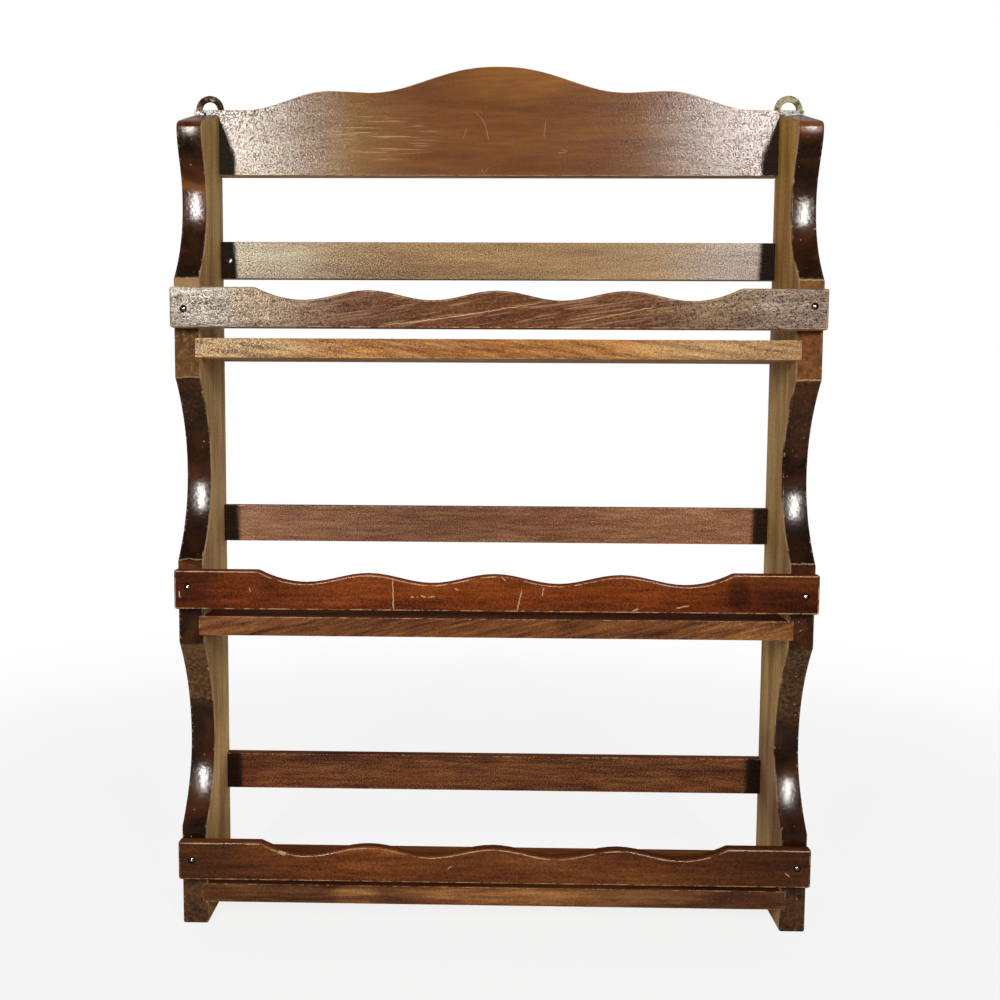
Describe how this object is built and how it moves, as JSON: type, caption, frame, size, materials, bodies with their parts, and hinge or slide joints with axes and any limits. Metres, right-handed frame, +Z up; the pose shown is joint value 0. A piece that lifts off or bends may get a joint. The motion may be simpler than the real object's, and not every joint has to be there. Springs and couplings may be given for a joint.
{
  "type": "wall spice rack",
  "caption": "Wall spice rack of dark stained wood with tiered shelves between scooped side boards, scalloped gallery rails, back slats and a curved crest.",
  "frame": {"origin": "bottom centre of the bounding box, on the plane of the two feet", "axes": "+X to the right as seen from the front, +Y from the front to the wall, +Z up"},
  "size_m": [0.4214, 0.0772, 0.5826],
  "materials": {
    "side_wood": "dark walnut stain under gloss lacquer on the edges, dull inside",
    "crest_wood": "dark walnut stain, semi-gloss, fine scratches",
    "upper_slat_wood": "thin walnut stain, worn pale",
    "middle_slat_wood": "walnut stain, dull",
    "lower_slat_wood": "red-brown stain, satin",
    "top_shelf_wood": "walnut stain, satin, worn edge",
    "middle_shelf_wood": "walnut stain, satin",
    "bottom_shelf_wood": "walnut stain, satin, worn edge",
    "top_rail_wood": "walnut stain with rough open grain",
    "middle_rail_wood": "red-brown stain, semi-gloss, pale worn edges",
    "bottom_rail_wood": "red-brown stain, semi-gloss, pale worn edges",
    "tarnished_brass": "dark patina",
    "pale_brass": "bright, lightly worn",
    "nail_steel": "dull steel"
  },
  "bodies": {
    "root": {"left_side": "side_wood", "right_side": "side_wood", "crest_panel": "crest_wood", "upper_back_slat": "upper_slat_wood", "middle_back_slat": "middle_slat_wood", "lower_back_slat": "lower_slat_wood", "top_shelf": "top_shelf_wood", "middle_shelf": "middle_shelf_wood", "bottom_shelf": "bottom_shelf_wood", "top_rail": "top_rail_wood", "middle_rail": "middle_rail_wood", "bottom_rail": "bottom_rail_wood", "left_hanger": "tarnished_brass", "right_hanger": "pale_brass", "left_hanger_nails": "tarnished_brass", "right_hanger_nails": "pale_brass", "crest_nails": "nail_steel", "upper_slat_nails": "nail_steel", "middle_slat_nails": "nail_steel", "lower_slat_nails": "nail_steel", "top_shelf_nails": "nail_steel", "middle_shelf_nails": "nail_steel", "bottom_shelf_nails": "nail_steel", "top_rail_nails": "pale_brass", "middle_rail_nails": "pale_brass", "bottom_rail_nails": "pale_brass"}
  },
  "joints": []
}
